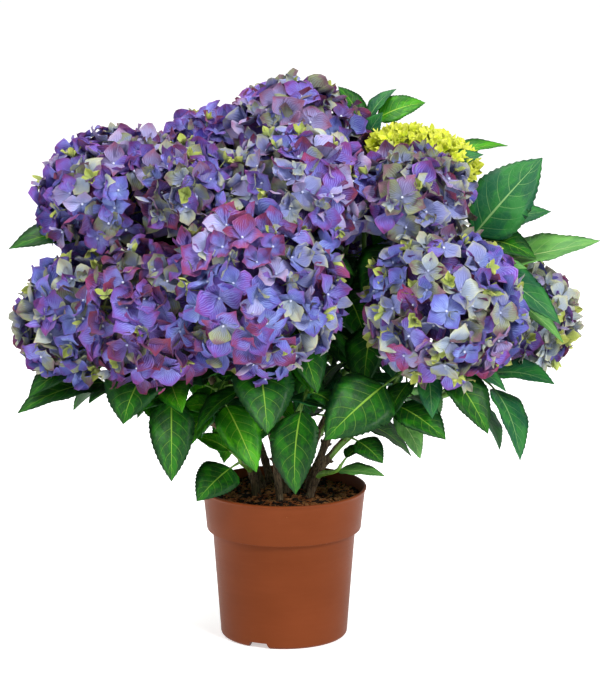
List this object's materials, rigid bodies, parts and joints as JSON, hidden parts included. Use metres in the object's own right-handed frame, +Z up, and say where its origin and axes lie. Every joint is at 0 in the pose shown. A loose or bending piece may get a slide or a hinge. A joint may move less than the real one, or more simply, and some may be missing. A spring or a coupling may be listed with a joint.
{
  "type": "potted hydrangea shrub",
  "caption": "Mophead hydrangea shrub with round heads of violet-blue florets over dark leaves and woody canes, growing in soil in a plain tapered plastic nursery pot.",
  "frame": {"origin": "centre of the round pad under the middle of the pot, at the level of the pot's foot ring", "axes": "+Z up along the pot's axis, -Y towards the side with the largest low flower head, +X to the right seen from there"},
  "size_m": [0.5962, 0.4361, 0.5721],
  "materials": {
    "pot": "satin",
    "soil": "matte",
    "bark": "matte",
    "leaves": "satin",
    "petals": "matte",
    "young_petals": "matte"
  },
  "bodies": {
    "root": {"cane_back_left": "bark", "cane_back_right": "bark", "cane_front": "bark", "cane_high_left": "bark", "cane_high_right": "bark", "cane_left": "bark", "cane_middle": "bark", "cane_right": "bark", "flowers_back": "petals", "flowers_back_left": "petals", "flowers_back_right": "petals", "flowers_far_left": "petals", "flowers_far_right": "petals", "flowers_front": "petals", "flowers_front_left": "petals", "flowers_high_left": "petals", "flowers_lime": "young_petals", "flowers_low_left": "petals", "flowers_middle": "petals", "flowers_middle_left": "petals", "flowers_right_high": "petals", "flowers_right_low": "petals", "flowers_top": "petals", "flowers_top_left": "petals", "pot": "pot", "shoot_back": "leaves", "shoot_back_left": "leaves", "shoot_back_right": "leaves", "shoot_fan": "leaves", "shoot_far_left": "leaves", "shoot_far_right": "leaves", "shoot_foot_back": "leaves", "shoot_foot_back_right": "leaves", "shoot_foot_front": "leaves", "shoot_foot_left": "leaves", "shoot_foot_right": "leaves", "shoot_front": "leaves", "shoot_front_left": "leaves", "shoot_high_left": "leaves", "shoot_inner_left": "leaves", "shoot_inner_right": "leaves", "shoot_lime": "leaves", "shoot_low_left": "leaves", "shoot_middle": "leaves", "shoot_middle_left": "leaves", "shoot_peak": "leaves", "shoot_right_high": "leaves", "shoot_right_low": "leaves", "shoot_top": "leaves", "shoot_top_left": "leaves", "shoot_tuft_left": "leaves", "shoot_tuft_right": "leaves", "soil": "soil"}
  },
  "joints": []
}
